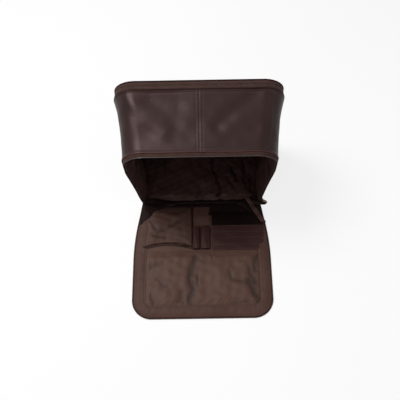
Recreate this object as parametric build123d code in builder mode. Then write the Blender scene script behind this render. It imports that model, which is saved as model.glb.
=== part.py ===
from build123d import *
from math import asin, cos, degrees, radians, sin, sqrt, tan
import os

# A soft leather travel case for a folded garment, standing on its base and opened.
# The body leans a little forward. Its front is a lid on three sides of zip, hinged at
# the foot and laid flat on the ground, with the organiser on the face that looks up.
# Origin: centre of the base's underside. +X right, +Y to the back, +Z up. Millimetres.

os.makedirs("parts", exist_ok=True)

# Case
lean = 7.9                 # degrees that the body leans forward
front_width = 400          # the mouth and the lid
front_height = 363.5
back_width = 446           # the back outline, wider and taller than the mouth
back_height = 414
corner_radius = 58
foot_inset = 26            # how far each side comes in at the foot
foot_rise = 190            # height at which the side is straight again
base_depth = 175           # main compartment, front to back
rear_depth = 30            # rear compartment behind it

# Sheet materials
leather = 2.0
board = 2.0
lining = 1.2
padding = 3.0
tape = 0.8
fit = 0.3                  # clearance between pieces that move past each other

# Zips
coil = 2.6                 # one side's coil, square
coil_edge = 1.1            # outline to coil
tape_seam = 8              # tape hidden under the leather
tape_show = 12             # tape seen in front of the leather
lid_margin = 7             # outline to the lid's leather
zip_start = 8              # height at which the coils begin
piping = 4                 # piping diameter
rear_coil = 4              # both sides of the rear coil, closed
rear_tape_inset = 1.2

# Hinge of the lid
closing_gap = 0.5          # closed lid to the mouth
welt_radius = 2.2
welt_clear = 0.6           # welt to the lid's edge

# Lid organiser, measured from the hinge towards the lid's free end
facing_width = 30          # leather border round the lid's lining
lining_corner = 70         # rounded corners of the lining next to the hinge
lining_start = 12
pouch_margin = 32          # lid's left edge to the pouch
pouch_width = 136
pouch_start = 30
pouch_height = 8
pouch_corner = 40
pocket_zip_over = 3        # the zip is this much longer than the pouch on the left
pocket_zip_end = 149       # ends of the curved pocket zip
pocket_zip_sag = 12        # its middle lies this much nearer to the hinge
pocket_tape_width = 14
pocket_coil = 3
pen_left = -27             # left edge of the first of two loops side by side
pen_widths = (22, 30)
pen_start = 85
pen_end = 156
pen_height = 9
pen_leather = 1.2
card_margin = 20           # lid's right edge to the card holder
card_width = 150
card_start = 43
card_first_mouth = 85
card_step = 19.3           # each mouth lies this much further than the one over it
card_slots = 4
card_end = 158
card_leather = 1.2

# Sliders and pulls
slider_length = 14
slider_plate = 1.6
slider_flange = 1.2
slider_taper = 1.2
bail_length = 8
bail_height = 4.2
bail_wire = 1.3
bail_width = 1.8
pull_length = 27
pull_width = 8
pull_thickness = 1.2
pull_bar = 1.6
main_pull_lift = 48        # degrees off the side, its tip just above the ground
main_slider_height = 24    # middle of the parked slider above the ground
rear_slider_height = 40
pocket_slider_turn = 15.5  # degrees from the middle of the curved zip

# Carry handle on the back
handle_below_top = 84      # top of the back to the pivot
handle_span = 130          # between its two rings
handle_drop = 46
handle_bend = 26
grip_width = 15
grip_thickness = 7
ring_wire = 3.2
ring_inner_width = 20
ring_inner_height = 12
tab_width = 15
tab_length = 44
tab_leather = 2.0
rivet_diameter = 7
rivet_height = 1.4
rivet_pitch = 17

# Worked out from the sizes above
rim_y = -base_depth / 2
divider_y = base_depth / 2
rear_y = divider_y + rear_depth
back_lean = radians(lean)
foot_radius = (foot_rise**2 + foot_inset**2) / (2 * foot_inset)
hinge_z = leather + board + lining / 2
hinge_y = rim_y - hinge_z * tan(back_lean) - closing_gap / cos(back_lean)
lid_origin_y = hinge_y + hinge_z / cos(back_lean)
lid_start = hinge_z / cos(back_lean) + welt_radius + welt_clear
lid_zip_z = leather + tape / 2
facing_z = leather + tape
lid_lining_z = leather + padding
organiser_z = lid_lining_z + lining
pouch_left = pouch_margin - front_width / 2
pouch_right = pouch_left + pouch_width
card_right = front_width / 2 - card_margin
card_left = card_right - card_width
handle_height = back_height - handle_below_top


def lean_plane(y):
    """Plane parallel to the mouth, through y on the ground, facing forward, v up."""
    return Plane(origin=(0, y, 0), x_dir=(1, 0, 0), z_dir=(0, -cos(back_lean), -sin(back_lean)))


def lid_plane(z):
    """Plane of the opened lid at height z, v away from the hinge. It faces down."""
    return Plane(origin=(0, lid_origin_y, z), x_dir=(1, 0, 0), z_dir=(0, 0, -1))


def up_slope(height):
    return height / cos(back_lean)


def share(y):
    return min(max((y - rim_y) / base_depth, 0), 1)


def half_width(y):
    return (front_width + (back_width - front_width) * share(y)) / 2


def slope_height(y):
    return front_height + (back_height - front_height) * share(y)


def foot_half(half, inset, v):
    """Half width of the outline at v, on the long curve that brings the foot in."""
    return half - foot_radius + sqrt((foot_radius - inset) ** 2 - (foot_rise - v) ** 2)


def side_curve(half, height, inset, base, side):
    """One side of the outline, from the foot up to the middle of the top."""
    edge = half - inset
    radius = corner_radius - inset
    top = height - inset
    TangentArc((side * edge, foot_rise), (side * foot_half(half, inset, base), base), tangent=(0, -1))
    Line((side * edge, foot_rise), (side * edge, top - radius))
    TangentArc((side * edge, top - radius), (side * (edge - radius), top), tangent=(0, 1))
    Line((side * (edge - radius), top), (0, top))


def arch_path(half, height, inset, base):
    """The outline as one run from the left foot over the top to the right foot."""
    edge = half - inset
    foot = foot_half(half, inset, base)
    middle_v = (base + foot_rise) / 2
    middle = foot_half(half, inset, middle_v)
    radius = corner_radius - inset
    top = height - inset
    bite = radius * (1 - sin(radians(45)))
    ThreePointArc((-foot, base), (-middle, middle_v), (-edge, foot_rise))
    Line((-edge, foot_rise), (-edge, top - radius))
    ThreePointArc((-edge, top - radius), (bite - edge, top - bite), (radius - edge, top))
    Line((radius - edge, top), (edge - radius, top))
    ThreePointArc((edge - radius, top), (edge - bite, top - bite), (edge, top - radius))
    Line((edge, top - radius), (edge, foot_rise))
    ThreePointArc((edge, foot_rise), (middle, middle_v), (foot, base))


def outline(half, height, inset, base, mode=Mode.ADD):
    """Closed outline of the case, drawn in the sketch that is open."""
    with BuildLine() as edge:
        for side in (-1, 1):
            side_curve(half, height, inset, base, side)
        foot = foot_half(half, inset, base)
        Line((-foot, base), (foot, base))
    make_face(edge.edges(), mode=mode)


def body_loft(y_front, y_back, inset, base, mode=Mode.ADD):
    """Solid of the body's outline between two planes parallel to the mouth."""
    sections = []
    for y in (y_front, y_back):
        with BuildSketch(lean_plane(y)) as section:
            outline(half_width(y), slope_height(y), inset, up_slope(base))
        sections.append(section.sketch)
    loft(sections, mode=mode)


def body_wall(y_front, y_back, outer, inner, base):
    """Wall over both sides and the top, open at the foot."""
    body_loft(y_front, y_back, outer, base)
    body_loft(y_front, y_back, inner, base, mode=Mode.SUBTRACT)


def lid_sheet(z, thickness, outer, start, inner=None):
    """Sheet of the lid's outline, or a band of it on the three zipped sides."""
    with BuildSketch(lid_plane(z)) as sheet:
        outline(front_width / 2, front_height, outer, start)
        if inner is not None:
            outline(front_width / 2, front_height, inner, start, mode=Mode.SUBTRACT)
    extrude(sheet.sketch, amount=-thickness)


def lid_box(z, thickness, left, right, start, end, radius):
    """Flat piece on the lid with its free corners rounded."""
    with BuildSketch(lid_plane(z)) as sheet:
        with Locations(((left + right) / 2, (start + end) / 2)):
            RectangleRounded(right - left, end - start, radius)
    extrude(sheet.sketch, amount=-thickness)


def save(piece, name):
    piece.part.label = name
    export_step(piece.part, f"parts/{name}.step")


# Base: leather under everything, its front edge below the hinge welt, and a stiff board
# inside the main compartment.
front_foot = foot_half(front_width / 2, 0, 0)
back_foot = foot_half(back_width / 2, 0, 0)
base_front_y = hinge_y - welt_radius - welt_clear + fit
with BuildPart() as base_leather:
    with BuildSketch(Plane.XY):
        with BuildLine():
            Polyline(
                (-front_foot, base_front_y),
                (front_foot, base_front_y),
                (back_foot, divider_y),
                (back_foot, rear_y),
                (-back_foot, rear_y),
                (-back_foot, divider_y),
                close=True,
            )
        make_face()
    extrude(amount=leather)
save(base_leather, "base_leather")

wall_inside = leather + tape + lining
board_front_y = hinge_y + welt_radius + fit
board_back_y = divider_y - (leather + board) * tan(back_lean) - fit
with BuildPart() as base_board:
    with BuildSketch(Plane.XY.offset(leather)):
        with BuildLine():
            Polyline(
                (-front_foot + wall_inside, board_front_y),
                (front_foot - wall_inside, board_front_y),
                (back_foot - wall_inside, board_back_y),
                (-back_foot + wall_inside, board_back_y),
                close=True,
            )
        make_face()
    extrude(amount=board)
save(base_board, "base_board")

# Gusset: the leather wall over the sides and top, in two halves that meet on the
# centre seam. It narrows and drops from the back outline to the mouth.
gusset_y = rim_y + tape_show
for name, kept in (("gusset_left", Keep.BOTTOM), ("gusset_right", Keep.TOP)):
    with BuildPart() as gusset:
        body_wall(gusset_y, divider_y, 0, leather, leather)
        split(bisect_by=Plane.YZ, keep=kept)
    save(gusset, name)

# Zip half round the mouth: the tape comes out from under the leather, with the coil on
# its front edge.
with BuildPart() as rim_zip_tape:
    body_wall(rim_y + coil, gusset_y + tape_seam, leather, leather + tape, zip_start)
save(rim_zip_tape, "rim_zip_tape")

with BuildPart() as rim_zip_coil:
    body_wall(rim_y, rim_y + coil, coil_edge, coil_edge + coil, zip_start)
save(rim_zip_coil, "rim_zip_coil")

# Lining of the main compartment, an open bag that covers the sides, top, bottom and
# the divider.
lining_outer = leather + tape
lining_inner = lining_outer + lining
lining_floor = leather + board
with BuildPart() as main_lining:
    body_loft(gusset_y, divider_y, lining_outer, lining_floor)
    body_loft(gusset_y, divider_y - lining, lining_inner, lining_floor + lining, mode=Mode.SUBTRACT)
save(main_lining, "main_lining")

# Hinge welt: a leather roll on the hinge line, with its flange sewn down in front of
# the lining.
flange_end_y = gusset_y - (hinge_z + lining) * tan(back_lean) - fit
with BuildPart() as hinge_welt:
    with BuildSketch(Plane.YZ):
        with Locations((hinge_y, hinge_z)):
            Circle(welt_radius)
            Rectangle(flange_end_y - hinge_y, lining, align=(Align.MIN, Align.CENTER))
    extrude(amount=front_foot - wall_inside, both=True)
save(hinge_welt, "hinge_welt")

# Rear compartment: divider, zip band between two pipings, and the back.
panel_inset = piping + fit
tape_front_y = divider_y + piping
coil_front_y = divider_y + (rear_depth - rear_coil) / 2
coil_back_y = coil_front_y + rear_coil
tape_back_y = rear_y - piping
with BuildPart() as divider_panel:
    body_loft(divider_y, divider_y + leather, panel_inset, leather)
save(divider_panel, "divider_panel")

rear_half = half_width(divider_y)
for name, middle_y in (
    ("rear_piping_front", divider_y + piping / 2),
    ("rear_piping_back", rear_y - piping / 2),
):
    with BuildPart() as cord_trim:
        with BuildLine(lean_plane(middle_y)) as path:
            arch_path(rear_half, back_height, piping / 2, up_slope(leather + piping / 4))
        with BuildSketch(Plane(origin=path.line @ 0, z_dir=path.line % 0)):
            RegularPolygon((piping - fit) / 2, 8)
        sweep()
    save(cord_trim, name)

rear_tapes = (
    ("rear_zip_tape_front", tape_front_y, coil_front_y),
    ("rear_zip_tape_back", coil_back_y, tape_back_y),
)
for name, y_front, y_back in rear_tapes:
    with BuildPart() as rear_tape:
        body_wall(y_front, y_back, rear_tape_inset, rear_tape_inset + tape, leather)
    save(rear_tape, name)

rear_coil_inset = rear_tape_inset + tape / 2 - coil / 2
with BuildPart() as rear_zip_coil:
    body_wall(coil_front_y, coil_back_y, rear_coil_inset, rear_coil_inset + coil, leather)
save(rear_zip_coil, "rear_zip_coil")

with BuildPart() as back_leather:
    body_loft(rear_y - leather, rear_y, panel_inset, leather)
save(back_leather, "back_leather")

with BuildPart() as back_board:
    body_loft(rear_y - leather - board, rear_y - leather, panel_inset + leather, leather)
save(back_board, "back_board")

# Lid: leather underneath, zip half on its edge, leather border and padded lining.
tape_inner = lid_margin + tape_show
with BuildPart() as lid_leather:
    lid_sheet(0, leather, lid_margin, lid_start)
save(lid_leather, "lid_leather")

lid_zip_start = hinge_z + zip_start
with BuildPart() as lid_zip_tape:
    lid_sheet(leather, tape, coil_edge + coil, lid_zip_start, tape_inner)
save(lid_zip_tape, "lid_zip_tape")

with BuildPart() as lid_zip_coil:
    lid_sheet(lid_zip_z - coil / 2, coil, coil_edge, lid_zip_start, coil_edge + coil)
save(lid_zip_coil, "lid_zip_coil")


def lining_outline(gap):
    """Lining inside the leather border, with large corners next to the hinge."""
    half = front_width / 2 - facing_width - gap
    end = front_height - facing_width - gap
    start = lining_start + gap
    with BuildSketch(Plane.XY) as panel:
        with Locations((0, (start + end) / 2)):
            Rectangle(2 * half, end - start)
        fillet(vertices().group_by(Axis.Y)[0], lining_corner - gap)
        fillet(vertices().group_by(Axis.Y)[-1], corner_radius - facing_width - gap)
    return panel.sketch


with BuildPart() as lid_facing:
    with BuildSketch(lid_plane(facing_z)):
        outline(front_width / 2, front_height, lid_margin, lid_start)
        add(lining_outline(0), mode=Mode.SUBTRACT)
    extrude(amount=-lining)
save(lid_facing, "lid_facing")

for name, z, thickness in (
    ("lid_padding", leather, padding),
    ("lid_lining", lid_lining_z, lining),
):
    with BuildPart() as lid_inside:
        with BuildSketch(lid_plane(z)):
            add(lining_outline(fit))
        extrude(amount=-thickness)
    save(lid_inside, name)

# Zip pouch on the lining: a fabric tray turned over, with its curved zip along the mouth.
pocket_half = (pouch_width + pocket_zip_over) / 2
pocket_middle = pouch_right - pocket_half
pocket_radius = (pocket_half**2 + pocket_zip_sag**2) / (2 * pocket_zip_sag)
pocket_centre = pocket_zip_end - pocket_zip_sag + pocket_radius
tape_near = pocket_radius + pocket_tape_width / 2


def pouch_outline(wall):
    with BuildLine() as edge:
        left = pouch_left + wall
        right = pouch_right - wall
        radius = pouch_corner - wall
        near = pouch_start + wall
        reach = tape_near + fit + wall
        left_end = pocket_centre - sqrt(reach**2 - (left - pocket_middle) ** 2)
        right_end = pocket_centre - sqrt(reach**2 - (right - pocket_middle) ** 2)
        Line((left, left_end), (left, near + radius))
        TangentArc((left, near + radius), (left + radius, near), tangent=(0, -1))
        Line((left + radius, near), (right, near))
        Line((right, near), (right, right_end))
        ThreePointArc((right, right_end), (pocket_middle, pocket_centre - reach), (left, left_end))
    make_face(edge.edges())


with BuildPart() as zip_pouch:
    with BuildSketch(lid_plane(organiser_z)):
        pouch_outline(0)
    extrude(amount=-pouch_height)
    with BuildSketch(lid_plane(organiser_z)):
        pouch_outline(lining)
    extrude(amount=-(pouch_height - lining), mode=Mode.SUBTRACT)
save(zip_pouch, "zip_pouch")


def curved_band(z, thickness, width):
    """Band along the pocket zip's curve, cut off square to it at both ends."""
    side = 2 * pocket_half
    drop = 2 * (pocket_radius - pocket_zip_sag)
    with BuildSketch(lid_plane(z)) as band:
        with Locations((pocket_middle, pocket_centre)):
            Circle(pocket_radius + width / 2)
            Circle(pocket_radius - width / 2, mode=Mode.SUBTRACT)
            Polygon((0, 0), (-side, -drop), (side, -drop), align=None, mode=Mode.INTERSECT)
    extrude(band.sketch, amount=-thickness)


pocket_coil_z = organiser_z + tape
with BuildPart() as pocket_zip_tape:
    curved_band(organiser_z, tape, pocket_tape_width)
save(pocket_zip_tape, "pocket_zip_tape")

with BuildPart() as pocket_zip_coil:
    curved_band(pocket_coil_z, coil / 2, pocket_coil)
save(pocket_zip_coil, "pocket_zip_coil")

# Pen loops: two leather arches side by side on a backing.
pen_right = pen_left + sum(pen_widths)
with BuildPart() as pen_backing:
    lid_box(organiser_z, pen_leather, pen_left, pen_right, pen_start, pen_end, pen_leather)
save(pen_backing, "pen_backing")

pen_z = organiser_z + pen_leather
pen_plane = Plane(origin=(0, lid_origin_y - pen_start, pen_z), x_dir=(1, 0, 0), z_dir=(0, -1, 0))
loop_left = pen_left
for name, width in zip(("pen_loop_left", "pen_loop_right"), pen_widths):
    with BuildPart() as pen_loop:
        with BuildSketch(pen_plane):
            with Locations((loop_left + width / 2, 0)):
                Ellipse(width / 2 - fit, pen_height)
                Ellipse(width / 2 - fit - pen_leather, pen_height - pen_leather, mode=Mode.SUBTRACT)
                Rectangle(width, pen_height, align=(Align.CENTER, Align.MIN), mode=Mode.INTERSECT)
        extrude(amount=pen_end - pen_start)
    save(pen_loop, name)
    loop_left += width

# Card holder: a back panel and leather layers, each shorter than the one below it.
with BuildPart() as card_back:
    lid_box(organiser_z, card_leather, card_left, card_right, card_start, card_end, card_leather)
save(card_back, "card_back")

for number in range(1, card_slots + 1):
    with BuildPart() as card_slot:
        layer_z = organiser_z + card_leather * (card_slots + 1 - number)
        mouth = card_first_mouth + card_step * (number - 1)
        lid_box(layer_z, card_leather, card_left, card_right, card_start, mouth, card_leather)
    save(card_slot, f"card_slot_{number}")


# Sliders. Each frame lies on the coil: x across it, y the way it travels, z outward.
def slider_body(frame, span, flanged):
    """Plate over the coil with short flanges down its flanged sides and a bail on top."""
    inside = span / 2 + fit
    outside = inside + slider_flange
    wide = outside + slider_taper
    end = slider_length / 2
    with BuildSketch(frame.offset(fit)) as plate:
        Polygon((-outside, -end), (outside, -end), (wide, end), (-wide, end), align=None)
        fillet(vertices(), slider_taper)
    extrude(plate.sketch, amount=slider_plate)
    with BuildSketch(frame.offset(-fit)) as flanges:
        for side in flanged:
            with Locations((side * (inside + slider_flange / 2), 0)):
                Rectangle(slider_flange, slider_length - 2 * slider_taper)
    extrude(flanges.sketch, amount=2 * fit)
    with BuildSketch(Plane(origin=frame.origin, x_dir=frame.y_dir, z_dir=frame.x_dir)) as bail:
        with Locations((0, fit + slider_plate)):
            Rectangle(bail_length, bail_height, align=(Align.CENTER, Align.MIN))
            fillet(vertices().group_by(Axis.Y)[-1], bail_wire)
            Rectangle(
                bail_length - 2 * bail_wire,
                bail_height - bail_wire,
                align=(Align.CENTER, Align.MIN),
                mode=Mode.SUBTRACT,
            )
    extrude(bail.sketch, amount=bail_width / 2, both=True)


def pull_frame(frame, lift):
    """Frame on the pivot of a slider's pull, swung away from the coil by lift."""
    pivot = frame.offset(fit + slider_plate + (bail_height - bail_wire) / 2)
    out = pivot.z_dir * cos(radians(lift)) + pivot.y_dir * sin(radians(lift))
    return Plane(origin=pivot.origin, x_dir=pivot.x_dir, z_dir=out)


def pull_tab(frame):
    """Pull hanging from its bar, with a window that the bail stands in."""
    hang = (Align.CENTER, Align.MAX)
    with BuildSketch(frame.offset(-pull_thickness / 2)) as tab:
        with Locations((0, pull_bar / 2)):
            Rectangle(pull_width, pull_length, align=hang)
        fillet(vertices().group_by(Axis.Y)[-1], pull_bar)
        fillet(vertices().group_by(Axis.Y)[0], pull_width / 2 - fit)
        with Locations((0, -pull_bar / 2)):
            Rectangle(bail_width + 4 * fit, bail_length / 2, align=hang, mode=Mode.SUBTRACT)
    extrude(tab.sketch, amount=pull_thickness)


def side_frame(y, half, inset, height, side):
    """Frame on the side of the body at a height, on the long curve of the foot."""
    v = up_slope(height)
    turn = asin((foot_rise - v) / (foot_radius - inset))
    across = Vector(side, 0, 0)
    up = Vector(0, -sin(back_lean), cos(back_lean))
    spot = Vector(0, y, 0) + across * foot_half(half, inset, v) + up * v
    out = across * cos(turn) - up * sin(turn)
    travel = across * sin(turn) + up * cos(turn)
    return Plane(origin=spot, x_dir=travel.cross(out), z_dir=out)


pair_span = 2 * coil + 2 * closing_gap + hinge_z - lid_zip_z - coil / 2
main_y = rim_y + (coil - pair_span / 2) / cos(back_lean)
main_frame = side_frame(main_y, half_width(rim_y + coil), coil_edge, main_slider_height, 1)
rear_frame = side_frame(
    (coil_front_y + coil_back_y) / 2, back_width / 2, rear_coil_inset, rear_slider_height, -1
)
rear_tilt = degrees(asin((foot_rise - up_slope(rear_slider_height)) / (foot_radius - rear_coil_inset)))
pocket_angle = radians(pocket_slider_turn)
pocket_frame = Plane(
    origin=(
        pocket_middle + pocket_radius * sin(pocket_angle),
        lid_origin_y - pocket_centre + pocket_radius * cos(pocket_angle),
        pocket_coil_z + coil / 2,
    ),
    x_dir=(-sin(pocket_angle), -cos(pocket_angle), 0),
    z_dir=(0, 0, 1),
)
for name, frame, span, flanged, lift in (
    ("main", main_frame, pair_span, (1,), main_pull_lift),
    ("rear", rear_frame, rear_coil, (-1, 1), rear_tilt),
    ("pocket", pocket_frame, pocket_coil, (-1, 1), 0),
):
    with BuildPart() as zip_slider:
        slider_body(frame, span, flanged)
    save(zip_slider, f"{name}_slider")
    with BuildPart() as zip_pull:
        pull_tab(pull_frame(frame, lift))
    save(zip_pull, f"{name}_pull")

# Carry handle on the back: two riveted leather tabs, each folded round the top bar of a
# metal ring, and a padded grip between the rings' lower bars. It hangs down at rest.
back_plane = Plane(origin=(0, rear_y, 0), x_dir=(-1, 0, 0), z_dir=(0, cos(back_lean), sin(back_lean)))
ring_chamfer = ring_wire / 3
ring_reach = Vector(ring_wire / 2, ring_wire / 2 - ring_chamfer).length
barrel_radius = ring_reach + fit + tab_leather
handle_plane = back_plane.offset(barrel_radius)
outward = Axis(back_plane.origin, back_plane.z_dir)
ring_drop = ring_inner_height + ring_wire
ring_half = (ring_inner_width + ring_wire) / 2
ring_x = handle_span / 2


def cross_plane(x):
    """Plane across the handle at x, its own x up the back and its y outward."""
    spot = back_plane.from_local_coords((x, handle_height, 0))
    return Plane(origin=spot, x_dir=back_plane.y_dir, z_dir=back_plane.x_dir)


for name, x in (("left", ring_x), ("right", -ring_x)):
    with BuildPart() as handle_tab:
        with BuildSketch(back_plane):
            with Locations((x, handle_height)):
                Rectangle(tab_width, tab_length, align=(Align.CENTER, Align.MIN))
            fillet(vertices().group_by(Axis.Y)[-1], tab_width / 3)
        extrude(amount=tab_leather)
        with BuildSketch(cross_plane(x)):
            with Locations((0, barrel_radius)):
                Circle(barrel_radius)
        extrude(amount=tab_width / 2, both=True)
        with BuildSketch(cross_plane(x)):
            with Locations((0, barrel_radius)):
                Circle(ring_reach + fit)
        extrude(amount=tab_width / 2, both=True, mode=Mode.SUBTRACT)
    save(handle_tab, f"handle_tab_{name}")

    with BuildPart() as handle_ring:
        with BuildSketch(handle_plane):
            with Locations((x, handle_height - ring_drop / 2)):
                RectangleRounded(2 * ring_half + ring_wire, ring_drop + ring_wire, ring_wire)
                Rectangle(2 * ring_half - ring_wire, ring_drop - ring_wire, mode=Mode.SUBTRACT)
        extrude(amount=ring_wire / 2, both=True)
        chamfer(edges().group_by(outward)[0] + edges().group_by(outward)[-1], ring_chamfer)
    save(handle_ring, f"handle_ring_{name}")

with BuildPart() as handle_rivets:
    for x in (-ring_x, ring_x):
        for row in (1, 2):
            with BuildSketch(back_plane.offset(tab_leather)):
                with Locations((x, handle_height + row * rivet_pitch)):
                    Circle(rivet_diameter / 2)
            extrude(amount=rivet_height)
    chamfer(edges().filter_by(GeomType.CIRCLE).group_by(outward)[-1], rivet_height / 2)
save(handle_rivets, "handle_rivets")

with BuildPart() as handle_grip:
    with BuildLine(handle_plane) as grip_path:
        top = handle_height - ring_drop + barrel_radius
        low = handle_height - handle_drop
        FilletPolyline((-ring_x, top), (-ring_x, low), (ring_x, low), (ring_x, top), radius=handle_bend)
    grip_wire = grip_path.wire()
    with BuildSketch(Plane(origin=grip_wire @ 0, x_dir=back_plane.x_dir, z_dir=grip_wire % 0)):
        Rectangle(grip_width, grip_thickness)
        chamfer(vertices(), grip_thickness / 3)
    sweep(path=grip_wire)
    for x in (-ring_x, ring_x):
        with BuildSketch(cross_plane(x)):
            with Locations((-ring_drop, barrel_radius)):
                Circle(ring_reach)
        extrude(amount=grip_width, both=True, mode=Mode.SUBTRACT)
save(handle_grip, "handle_grip")
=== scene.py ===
import math

import bpy
import numpy as np
from mathutils import Matrix, Vector


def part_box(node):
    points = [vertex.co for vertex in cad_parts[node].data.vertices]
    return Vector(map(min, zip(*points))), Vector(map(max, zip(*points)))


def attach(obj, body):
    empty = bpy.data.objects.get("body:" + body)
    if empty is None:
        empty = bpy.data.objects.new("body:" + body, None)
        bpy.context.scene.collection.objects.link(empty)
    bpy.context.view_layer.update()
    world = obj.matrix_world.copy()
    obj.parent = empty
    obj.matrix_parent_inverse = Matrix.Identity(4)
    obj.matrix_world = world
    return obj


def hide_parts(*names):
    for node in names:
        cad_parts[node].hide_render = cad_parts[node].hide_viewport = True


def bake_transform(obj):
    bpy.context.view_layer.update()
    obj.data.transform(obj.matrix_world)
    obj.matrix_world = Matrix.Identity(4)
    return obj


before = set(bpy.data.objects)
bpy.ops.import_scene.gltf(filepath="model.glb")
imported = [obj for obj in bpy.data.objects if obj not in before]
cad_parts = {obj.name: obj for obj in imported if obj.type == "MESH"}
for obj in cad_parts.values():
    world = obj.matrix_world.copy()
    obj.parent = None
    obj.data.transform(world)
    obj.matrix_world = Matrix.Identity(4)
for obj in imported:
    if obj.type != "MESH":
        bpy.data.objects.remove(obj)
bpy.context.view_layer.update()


# Gusset: the soft leather wall of the case, two halves joined by a seam along the top.
# It runs from the piped back panel to the zip round the mouth, and its wide back makes it
# lean forward. Full-grain cowhide, sagging a little between its two stiff edges.
LEAN = math.radians(7.9)
MOUTH_Y, BACK_Y = -0.0875, 0.0875
MOUTH_HALF, MOUTH_HEIGHT = 0.2, 0.3635
BACK_HALF, BACK_HEIGHT = 0.223, 0.414
CORNER = 0.058
FOOT_RISE, FOOT_RADIUS = 0.19, 0.7072
SIDE_END, CORNER_END = 0.287, 0.372  # shares of the way round, to the top's middle at 0.5
ARCH_LENGTH = 1.16  # once round the wall, from foot to foot
DEPTH_SHARE = 0.12  # the wall's depth as a share of that way, for folds
LEATHER = 0.0018
TAPE_SHOWN = 0.012
LEATHER_FRONT, LEATHER_BACK = MOUTH_Y + TAPE_SHOWN, BACK_Y - 0.001
SLUMP_END, SLUMP_MOUTH, SLUMP_MORE = 0.245, 0.01, 0.007
SEWN_FRONT, SEWN_BACK, SEAM_ROW = 0.05, 0.955, 0.0078
CORNER_FOLD = [(0.652, 0.08), (0.657, 0.45), (0.649, 0.9)]
GUSSET_FOLDS = (  # height, width and path of each
    (-0.0026, 0.015, [(0.540, 0.050), (0.612, 0.114)]),
    (0.0034, 0.018, [(0.352, 0.108), (0.424, 0.040)]),
    (-0.0016, 0.014, [(0.455, 0.094), (0.405, 0.104)]),
)


def blend_to(low, high, share):
    return low + (high - low) * share


def tucked(up):
    """How far the side is drawn in at a height above its foot, and its slope there."""
    short = np.clip(FOOT_RISE - up, 0, None)
    return FOOT_RADIUS - np.sqrt(FOOT_RADIUS**2 - short**2), np.arcsin(short / FOOT_RADIUS)


def arch(share, half, height, inset):
    """Places and outward directions on the arch, from the left foot at 0 to the right at 1."""
    side = np.where(share > 0.5, 1.0, -1.0)
    way = np.where(share > 0.5, 1 - share, share)
    up = np.clip(way / SIDE_END, 0, 1) * (height - CORNER)
    tuck, slope = tucked(up)
    turn = np.clip((way - SIDE_END) / (CORNER_END - SIDE_END), 0, 1) * math.pi / 2
    top = np.clip((way - CORNER_END) / (0.5 - CORNER_END), 0, 1)
    out_x = np.where(way < SIDE_END, np.cos(slope), np.cos(turn))
    out_v = np.where(way < SIDE_END, -np.sin(slope), np.sin(turn))
    x = np.where(way < SIDE_END, half - tuck, half - CORNER + CORNER * np.cos(turn))
    v = np.where(way < SIDE_END, up, height - CORNER + CORNER * np.sin(turn))
    x = x - top * (half - CORNER) - inset * out_x
    return side * x, v - inset * out_v, side * out_x, out_v


def upright(x, y, v):
    """A place in the leaning body: x across, y back from the viewer, v up its slope."""
    return x, y - v * math.sin(LEAN), v * math.cos(LEAN)


def slump(share, back):
    """How far the soft wall has sunk in over its foot, most of all half way to the back."""
    up = np.minimum(share, 1 - share)
    depth = SLUMP_MOUTH + SLUMP_MORE * np.sin(math.pi * back)
    return np.sin(math.pi * np.clip(up / SLUMP_END, 0, 1)) ** 1.3 * depth * (1 - back)**0.7


def wall(share, y, inset):
    """A place on the wall of the body, at a distance in from its outer face."""
    back = np.clip((y - MOUTH_Y) / (BACK_Y - MOUTH_Y), 0, 1)
    half = blend_to(MOUTH_HALF, BACK_HALF, back)
    height = blend_to(MOUTH_HEIGHT, BACK_HEIGHT, back)
    x, v = arch(share, half, height, inset + slump(share, back))[:2]
    return upright(x, y, v)


def drift(a, b, size, seed):
    """Smooth, uneven waves up to about 1 high and about size long, over two lengths."""
    chance = np.random.default_rng(seed)
    total = 0
    for turn, start, stretch in chance.uniform(0, 1, (7, 3)):
        along = a * math.cos(turn * math.tau) + b * math.sin(turn * math.tau)
        total = total + np.sin(along * math.tau * (0.6 + stretch) / size + start * math.tau)
    return total / 2.8


def crease(a, b, path, width):
    """1 along a path, falling to 0 at about twice the width from it."""
    height = np.zeros_like(a)
    for (a0, b0), (a1, b1) in zip(path, path[1:]):
        da, db = a1 - a0, b1 - b0
        share = np.clip(((a - a0) * da + (b - b0) * db) / (da * da + db * db), 0, 1)
        gap = np.hypot(a - a0 - share * da, b - b0 - share * db)
        height = np.maximum(height, np.exp(-(gap / width)**2))
    return height


def spots_of(place):
    """Rows of x, y and z from a place given as three arrays or numbers."""
    return np.stack(np.broadcast_arrays(*place), axis=1)


def panel(name, columns, rows, place, folds=None):
    """A grid moved to place(across, along), both from 0 to 1; folds says how creased it is, stored for
    the painted shade in the folds.
    """
    bpy.ops.object.select_all(action="DESELECT")
    bpy.ops.mesh.primitive_grid_add(x_subdivisions=columns, y_subdivisions=rows, size=1)
    piece = bpy.context.object
    piece.name = piece.data.name = name
    spots = np.empty(len(piece.data.vertices) * 3)
    piece.data.vertices.foreach_get("co", spots)
    across, along = spots[0::3] + 0.5, spots[1::3] + 0.5
    piece.data.vertices.foreach_set("co", spots_of(place(across, along)).ravel())
    if folds:
        fold_shade = piece.data.attributes.new("painted_fold_shade", "FLOAT", "POINT")
        fold_shade.data.foreach_set("value", np.clip(folds(across, along), 0, 1).astype(np.float32))
    piece.data.update()
    bpy.ops.object.shade_smooth()
    return piece


def thicken(piece, thickness, angle):
    """Gives a grid its thickness, under the side that faces out."""
    modifier = piece.modifiers.new("Solidify", "SOLIDIFY")
    modifier.thickness, modifier.offset = thickness, -1
    bpy.context.view_layer.objects.active = piece
    bpy.ops.object.modifier_apply(modifier=modifier.name)
    bpy.ops.object.select_all(action="DESELECT")
    piece.select_set(True)
    bpy.ops.object.shade_smooth_by_angle(angle=math.radians(angle))


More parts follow.
